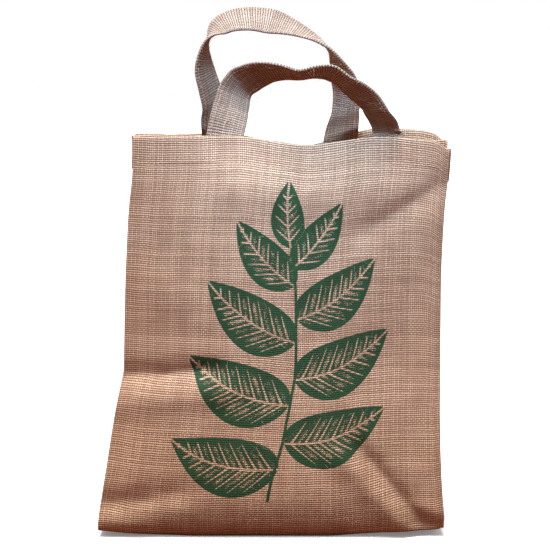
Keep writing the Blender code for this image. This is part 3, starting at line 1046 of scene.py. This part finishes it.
def thread_set(tree, aside, ahead, seed, half_width, wave_height, rise):
    """Height, cover, tone and grain of one set of parallel threads."""
    count = maths(tree, "FLOOR", aside)
    middle = maths(tree, "SUBTRACT", maths(tree, "FRACT", aside), 0.5)
    slub = along_thread(tree, (count, ahead), SLUBS, seed, 1.0)
    half = maths(tree, "MULTIPLY", maths(tree, "MULTIPLY_ADD", slub, 0.5, 0.75), half_width)
    off = maths(tree, "DIVIDE", middle, half)
    round_off = maths(tree, "SUBTRACT", 1.0, maths(tree, "MULTIPLY", off, off))
    cover = maths(tree, "SQRT", maths(tree, "MAXIMUM", round_off, 0.0))
    phase = maths(tree, "ADD", maths(tree, "ADD", ahead, count), seed - 0.5)
    wave = maths(tree, "COSINE", maths(tree, "MULTIPLY", phase, math.pi))
    lift = maths(tree, "MULTIPLY_ADD", cover, BODY, rise - BODY)
    height = maths(tree, "MULTIPLY_ADD", wave, wave_height, lift)
    tone = node(tree, "ShaderNodeTexWhiteNoise", join_xyz(tree, count, seed, 0.0)).outputs[0]
    grain = along_thread(tree, (aside, ahead), FIBRES, seed, 2.0, 0.6)
    return height, cover, tone, grain


# %% The weave group
# How the threads wander. Columns: scale of the noise, how far it moves them.
WANDER = ((14, 0.006), (110, 0.0009))
LOWEST, HEIGHTS = -1.4, 1.9  # the height that counts as 0, and the span from it to 1
GAP_COVER = 0.55  # cover over which a gap closes
weave, given, gives = new_group(
    "plain_weave",
    [("Threads", "Vector")],
    [("Height", "Float"), ("Gap", "Float"), ("Tone", "Float"), ("Grain", "Float")],
)
moved = given[0]
for scale, reach in WANDER:
    cloud = noise_node(weave, given[0], scale).outputs[1]
    shift = vector_maths(weave, "SUBTRACT", cloud, (0.5, 0.5, 0.5))
    moved = vector_maths(weave, "MULTIPLY_ADD", shift, (reach, reach, 0), moved)
counted = vector_maths(weave, "DIVIDE", moved, (PITCH, PITCH, 1))
split = node(weave, "ShaderNodeSeparateXYZ", counted).outputs
warp = thread_set(weave, split[0], split[1], 0.0, **WARP)
weft = thread_set(weave, split[1], split[0], 1.0, **WEFT)
weft_shows = maths(weave, "GREATER_THAN", weft[0], warp[0])
highest = maths(weave, "MAXIMUM", warp[0], weft[0])
above_lowest = maths(weave, "ADD", highest, -LOWEST)
feed(weave, gives["Height"], maths(weave, "DIVIDE", above_lowest, HEIGHTS))
covered = maths(weave, "MAXIMUM", warp[1], weft[1])
feed(weave, gives["Gap"], ramp(weave, covered, 0.0, GAP_COVER, 1.0, 0.0))
feed(weave, gives["Tone"], pick(weave, weft_shows, warp[2], weft[2]))
feed(weave, gives["Grain"], pick(weave, weft_shows, warp[3], weft[3]))
print("nodes in the weave:", len(weave.nodes))

# %% [markdown]
# ## The ink as a shader
# Printing ink sits on the raised threads and leaves the hollows bare. It is solid along a
# leaf's rim and thins into specks between the side veins, which stay bare like the midrib.
# A picture of a leaf would blur from near, so the group works its mask out from the way in
# which each point lies in its leaf. Noise of two sizes breaks the ink up: fine specks for
# the fibres that it missed, and wide patches for the places where the block pressed less.

# %% Sizes of the print
VEIN_PITCH = 0.0130
VEIN_LEAN = 0.9  # how far a side vein runs on towards the tip for each step outwards
VEIN_REACH = 0.022  # how far out it gets thinner
VEIN_HALF = (0.075, 0.01)  # its half width at the midrib and there, in pitches
VEIN_EDGE = 0.05  # how softly it ends at its sides, in pitches
VEIN_ENDS = (0.0035, 0.0065)  # how far inside the rim it ends
BETWEEN = (0.15, 0.5)  # from a vein's line, in pitches, to where the ink is worn, and most so
MIDRIB = (0.0007, 0.0013)  # from the midrib's line to where it is bare, and inked again
RIM_WANDER = 0.0016  # how far specks move the rim
INK_EDGE = (-0.0001, 0.0003)  # how far inside the rim the ink sets in, and is full
INKED_HEIGHTS = (0.24, 0.44)  # heights of thread at which it sets in, and is full
WORN = (0.0040, 0.0120)  # how far inside the rim the wear sets in, and is full
WEAR_LEAST, WEAR_INSIDE, WEAR_BETWEEN = 0.28, 0.07, 0.24  # at the rim, and added further in
PATCH_SHARE, PATCH_LEAST = 1.9, -0.30  # how patches weaken and strengthen the wear inside
SPECK_EDGE = (-0.02, 0.04)  # how softly a bare speck ends
print("side veins every", round(1000 * VEIN_PITCH), "mm")

# %% The rim, the veins and the midrib
ink, given, gives = new_group(
    "worn_ink",
    [(label, "Float") for label in (*STORED, "Height")] + [("Threads", "Vector")],
    [("Mask", "Float"), ("Shade", "Float")],
)
specks = noise_node(ink, given["Threads"], 900, 3.0, 0.65).outputs[0]
patches = noise_node(ink, given["Threads"], 55, 2.0).outputs[0]
rough_rim = maths(ink, "MULTIPLY_ADD", specks, RIM_WANDER, -RIM_WANDER / 2)
rim = maths(ink, "ADD", given["Inside"], rough_rim)
within = ramp(ink, rim, *INK_EDGE)
aside = maths(ink, "ABSOLUTE", given["Aside"])
vein_place = maths(ink, "MULTIPLY_ADD", aside, -VEIN_LEAN, given["Along"])
vein_share = maths(ink, "FRACT", maths(ink, "DIVIDE", vein_place, VEIN_PITCH))
vein_off = maths(ink, "ABSOLUTE", maths(ink, "SUBTRACT", vein_share, 0.5))
vein_half = ramp(ink, aside, 0.0, VEIN_REACH, *VEIN_HALF)
bare_vein = ramp(ink, maths(ink, "SUBTRACT", vein_off, vein_half), 0.0, VEIN_EDGE, 1.0, 0.0)
bare_vein = maths(ink, "MULTIPLY", bare_vein, ramp(ink, given["Inside"], *VEIN_ENDS))
bare_rib = ramp(ink, aside, *MIDRIB, 1.0, 0.0)
bare = maths(ink, "MAXIMUM", bare_vein, bare_rib)
print("nodes for the outline of a leaf:", len(ink.nodes))

# %% The wear, and what the group gives
deep = ramp(ink, given["Inside"], *WORN)
between = ramp(ink, vein_off, *BETWEEN)
wear = maths(ink, "MULTIPLY_ADD", between, WEAR_BETWEEN, WEAR_INSIDE)
wear = maths(ink, "MULTIPLY", deep, wear)
patchy = maths(ink, "MULTIPLY_ADD", patches, PATCH_SHARE, PATCH_LEAST)
wear = maths(ink, "MULTIPLY_ADD", wear, patchy, WEAR_LEAST)
kept = ramp(ink, maths(ink, "SUBTRACT", specks, wear), *SPECK_EDGE)
printed_part = maths(ink, "MULTIPLY", within, maths(ink, "SUBTRACT", 1.0, bare))
leaf = maths(ink, "MULTIPLY", printed_part, kept)
stem_ink = ramp(ink, maths(ink, "ADD", given["Stem"], rough_rim), *INK_EDGE)
on_top = ramp(ink, given["Height"], *INKED_HEIGHTS)
mask = maths(ink, "MULTIPLY", maths(ink, "MAXIMUM", leaf, stem_ink), on_top)
feed(ink, gives["Mask"], mask)
feed(ink, gives["Shade"], maths(ink, "MULTIPLY_ADD", patches, 0.6, 0.7))
print("nodes in the ink:", len(ink.nodes))

# %% [markdown]
# ## Burlap and thread as materials
# Jute is a dull fibre with a faint sheen. In one flat colour it would look like paper, so
# each thread has a tone of its own here, its fibres run light and dark along it, and wide
# tea-coloured patches lie over both. Painted shade turns the gaps and hollows between the
# threads nearly black. One function makes the plain cloth, the handles with a painted shade
# that darkens them, and the printed front.
# Sheen and gloss are alike all over the cloth, so they are set as constants.

# %% Colours of the cloth
JUTE_DARK = (0.47, 0.250, 0.140, 1)
JUTE_LIGHT = (0.94, 0.60, 0.395, 1)
JUTE_MIDDLE = (0.60, 0.36, 0.22, 1)
# Painted shade for the gaps and hollows between the threads.
PAINTED_GAP_SHADE = (0.030, 0.012, 0.006, 1)
JUTE_SHADE = (0.42, 0.20, 0.105, 1)  # tea-coloured patches
GREEN = (0.003, 0.080, 0.022, 1)
STRAP_PAINTED_SHADE = (0.63, 0.67, 0.74)  # painted shade that makes the handles' copy of the cloth darker than the panels'
TONE_SHARE, GRAIN_SHARE = 0.26, 0.94  # of a thread's own tone and of its fibres
LIGHTNESS = (0.32, 0.84)  # where tone and fibres together are darkest and lightest
STAIN, STAIN_SHARE = (0.42, 0.78), 0.45  # where tea-coloured patches set in, how strong
HOLLOW_SHADE_HEIGHTS, HOLLOW_SHADE_SHARE = (0.46, 0.96), 0.94  # heights over which low threads get painted shade, and how strong it gets
FUZZ = 0.25  # share of the bumps that fibres make
BUMP_STRENGTH, BUMP_HEIGHT = 0.75, 0.0008
print("the lightest jute reflects", JUTE_LIGHT[:3])


# %% What all materials share
def new_material(name):
    """A new material, its nodes and its shader."""
    material = bpy.data.materials.new(name)
    material.use_nodes = True
    return material, material.node_tree, material.node_tree.nodes["Principled BSDF"]


def set_surface(shader, roughness, sheen):
    """Constants of a cloth surface."""
    shader.inputs["Roughness"].default_value = roughness
    shader.inputs["Specular IOR Level"].default_value = 0.3
    shader.inputs["Sheen Weight"].default_value = sheen
    shader.inputs["Sheen Roughness"].default_value = 0.45
    shader.inputs["Sheen Tint"].default_value = (1.0, 0.93, 0.84, 1)


# %% Burlap as a material
def cloth_material(name, printed=False, painted_shade=(1, 1, 1)):
    """Burlap, drawn on the flat places of the cloth and darkened by a painted shade, if one is
    given.
    """
    material, tree, shader = new_material(name)
    threads = node(tree, "ShaderNodeUVMap", uv_map="cloth").outputs[0]
    woven = use_group(tree, weave, Threads=threads)
    mottle = noise_node(tree, threads, 26, 4.0, 0.6).outputs[0]
    grain = maths(tree, "MULTIPLY", woven["Grain"], GRAIN_SHARE)
    light = maths(tree, "MULTIPLY_ADD", woven["Tone"], TONE_SHARE, grain)
    colour = blend(tree, ramp(tree, light, *LIGHTNESS), JUTE_DARK, JUTE_LIGHT)
    stained = ramp(tree, mottle, *STAIN, 0.0, STAIN_SHARE)
    colour = blend(tree, stained, colour, JUTE_SHADE)
    if printed:
        told = {
            label: node(tree, "ShaderNodeAttribute", attribute_name=stored).outputs["Fac"]
            for label, stored in STORED.items()
        }
        inked = use_group(tree, ink, Threads=threads, Height=woven["Height"], **told)
        shaded = vector_maths(tree, "SCALE", GREEN[:3])
        feed(tree, shaded.node.inputs["Scale"], inked["Shade"])
        colour = blend(tree, inked["Mask"], colour, shaded)
    # Painted shade: threads that lie low, and the gaps where no thread covers, go towards the gap
    # colour.
    hollow_shade = ramp(tree, woven["Height"], *HOLLOW_SHADE_HEIGHTS, HOLLOW_SHADE_SHARE, 0.0)
    colour = blend(tree, hollow_shade, colour, PAINTED_GAP_SHADE)
    colour = blend(tree, woven["Gap"], colour, PAINTED_GAP_SHADE)
    # The painted shade darkens the whole colour of the handles' copy of the cloth.
    feed(tree, shader.inputs["Base Color"], vector_maths(tree, "MULTIPLY", colour, painted_shade))
    fuzz = maths(tree, "MULTIPLY_ADD", woven["Grain"], FUZZ, woven["Height"])
    bump = node(tree, "ShaderNodeBump")
    bump.inputs["Strength"].default_value = BUMP_STRENGTH
    bump.inputs["Distance"].default_value = BUMP_HEIGHT
    feed(tree, bump.inputs["Height"], fuzz)
    feed(tree, shader.inputs["Normal"], bump.outputs[0])
    set_surface(shader, 0.65, 0.15)
    return material


print("what the cloth tells the ink:", ", ".join(STORED))


# %% Thread as a material
def thread_material(name, colour):
    """Loose jute thread, mottled by its place in space."""
    material, tree, shader = new_material(name)
    place = node(tree, "ShaderNodeTexCoord").outputs["Object"]
    speck = noise_node(tree, place, 900, 2.0).outputs[0]
    feed(tree, shader.inputs["Base Color"], blend(tree, speck, JUTE_DARK, colour))
    set_surface(shader, 0.8, 0.35)
    return material


# %% Give each piece its material
plain = cloth_material("jute_cloth")
# The handles get a copy of the cloth that is darkened by painted shade.
shaded_strap_material = cloth_material("shaded_strap_cloth", painted_shade=STRAP_PAINTED_SHADE)
printed = cloth_material("printed_jute_cloth", printed=True)
thread = thread_material("jute_thread", JUTE_LIGHT)
seam_thread = thread_material("seam_thread", JUTE_MIDDLE)
dark_thread = thread_material("dark_thread", JUTE_SHADE)
for piece, material in (
    (front_cloth, printed),
    (back_cloth, plain),
    (gusset_cloth, plain),
    (front_strap, shaded_strap_material),
    (back_strap, shaded_strap_material),
    (hem_stitches, seam_thread),
    (strap_stitches, seam_thread),
    (stray_fibres, thread),
    (loose_thread, dark_thread),
):
    piece.data.materials.append(material)
print("materials:", ", ".join(sorted(material.name for material in bpy.data.materials)))

# %% [markdown]
# ## Light and floor
# The bag stands in a bright room with a window high in front of it. A sun lamp with a wide
# disc gives soft edges to the shadows and lights everything alike, wherever the camera
# stands. The window itself is a small cool lamp whose narrow beam falls on the top of the
# front, where the real cloth shines pale. A weak fill behind the bag keeps its back from
# going dark. The world adds the light of the walls, warmer low down. The floor is large and
# pale and meets a world of the same shade, so no line shows between them.

# %% Where the light comes from
SUN_ELEVATION = math.radians(77)
SUN_AZIMUTH = math.radians(-35)  # from straight in front, towards the left
SUN_POWER, SUN_COLOUR, SUN_DISC = 5.0, (0.96, 0.96, 0.95), math.radians(25)
WINDOW_POWER, WINDOW_COLOUR, WINDOW_SIZE = 0.70, (0.40, 0.68, 1.0), 0.30
WINDOW_BEAM = math.radians(34)
FILL_POWER, FILL_COLOUR, FILL_DISC = 1.5, (1.0, 0.90, 0.82), math.radians(60)
WINDOW = Vector((-0.03, -0.40, 0.82))  # where the near window is
WINDOW_AIM = Vector((0.030, 0, 0.385))
WALL_HIGH = (0.84, 0.93, 1.0, 1)
WALL_LOW = (0.75, 0.27, 0.12, 1)
WHITE, BLACK = (1, 1, 1, 1), (0, 0, 0, 1)
AMBIENT = 0.52
FILL_TILT = math.radians(60)  # of the fill behind the bag, from straight above
print("the window hangs", round((WINDOW - WINDOW_AIM).length, 2), "m from where it shines")


# %% Light the bag
def add_lamp(name, kind, energy, colour, **settings):
    """Adds a lamp."""
    lamp = bpy.data.lights.new(name, kind)
    lamp.energy = energy
    lamp.color = colour
    for key, value in settings.items():
        setattr(lamp, key, value)
    return add_object(name, lamp)


flat_part = Vector((math.sin(SUN_AZIMUTH), -math.cos(SUN_AZIMUTH), 0)) * math.cos(SUN_ELEVATION)
towards_sun = flat_part + Vector((0, 0, math.sin(SUN_ELEVATION)))
sun = add_lamp("sun", "SUN", SUN_POWER, SUN_COLOUR, angle=SUN_DISC)
sun.rotation_euler = towards_sun.to_track_quat("Z", "Y").to_euler()
window = add_lamp("window", "AREA", WINDOW_POWER, WINDOW_COLOUR, shape="DISK", size=WINDOW_SIZE)
window.data.spread = WINDOW_BEAM
window.location = WINDOW
window.rotation_euler = (WINDOW - WINDOW_AIM).to_track_quat("Z", "Y").to_euler()
fill = add_lamp("fill", "SUN", FILL_POWER, FILL_COLOUR, angle=FILL_DISC, use_shadow=False)
fill.rotation_euler = (FILL_TILT, 0, math.pi)
print("lamps:", len(bpy.data.lights))

# %% Light from the walls
world = bpy.data.worlds.new("room")
world.use_nodes = True
bpy.context.scene.world = world
room = world.node_tree
room.nodes.clear()
direction = node(room, "ShaderNodeTexCoord").outputs["Generated"]
up = node(room, "ShaderNodeSeparateXYZ", direction).outputs[2]
wall_colour = blend(room, ramp(room, up, -0.1, 0.7), WALL_LOW, WALL_HIGH)
walls = node(room, "ShaderNodeBackground", wall_colour, AMBIENT)
seen = node(room, "ShaderNodeBackground", WHITE, 1.0)
camera_ray = node(room, "ShaderNodeLightPath").outputs["Is Camera Ray"]
either = node(room, "ShaderNodeMixShader", camera_ray, walls.outputs[0], seen.outputs[0])
node(room, "ShaderNodeOutputWorld", either.outputs[0])
bpy.context.scene.view_settings.view_transform = "Standard"
print("nodes in the world:", len(room.nodes))

# %% Lay the floor
FLOOR_SEEN = (0.86, 0.86, 0.86, 1)
FLOOR_LIFT = 0.15  # brightens the floor as far as a white backdrop
FLOOR_GLOW = (0.13, 0.028, 0.008, 1)  # what the floor throws back on the bag
FLOOR_RADIUS = 14  # so large that its rim is out of sight

sheet = bmesh.new()
bmesh.ops.create_circle(sheet, cap_ends=True, segments=96, radius=FLOOR_RADIUS)
floor = finish_piece("floor", sheet)
floor_material, floor_tree, floor_shader = new_material("pale_floor")
looked_at = node(floor_tree, "ShaderNodeLightPath").outputs["Is Camera Ray"]
for socket, unseen, seen_colour in (
    ("Base Color", FLOOR_GLOW, FLOOR_SEEN),
    ("Emission Color", BLACK, WHITE),
):
    colour = blend(floor_tree, looked_at, unseen, seen_colour)
    feed(floor_tree, floor_shader.inputs[socket], colour)
floor_shader.inputs["Emission Strength"].default_value = FLOOR_LIFT
floor_shader.inputs["Roughness"].default_value = 0.9
floor_shader.inputs["Specular IOR Level"].default_value = 0.1
floor.data.materials.append(floor_material)
print("the floor is", round(floor.dimensions.x), "m wide")

# %% [markdown]
# ## What each piece is
# Every piece rides on the bag's one body, and each is listed with one of the five solids.
# The five cloths take the place of those solids, which are hidden. A sheet of cloth keeps its
# length, so the size at which each one was cut, hems included, is printed.

# %% Tell the pieces their places
HOMES = (
    (front_cloth, "front_panel"),
    (back_cloth, "back_panel"),
    (gusset_cloth, "gusset"),
    (front_strap, "front_handle"),
    (back_strap, "back_handle"),
    (hem_stitches, "front_panel"),
    (strap_stitches, "front_handle"),
    (stray_fibres, "front_panel"),
    (loose_thread, "front_panel"),
)
for piece, solid in HOMES:
    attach(piece, "root")
for piece, solid in HOMES[:5]:
    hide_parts(solid)

TURNED = 2 * math.pi * EDGE_ROLL  # what both side edges of a panel take up
HEMMED = math.pi * HEM_ROLL + HEM_DEPTH
cuts = {
    front_cloth: (PANEL_WIDTH + TURNED, PANEL_HEIGHT + HEMMED),
    back_cloth: (PANEL_WIDTH + TURNED, PANEL_HEIGHT + HEMMED),
    gusset_cloth: (GUSSET_WIDTH, SEAM_LENGTH + 2 * HEMMED),
    front_strap: (STRAP_WIDTH, strap_length(FRONT_STRAP)),
    back_strap: (STRAP_WIDTH, strap_length(BACK_STRAP)),
}
for piece, cut in cuts.items():
    print(piece.name, "was cut", [round(1000 * side) for side in cut], "mm")
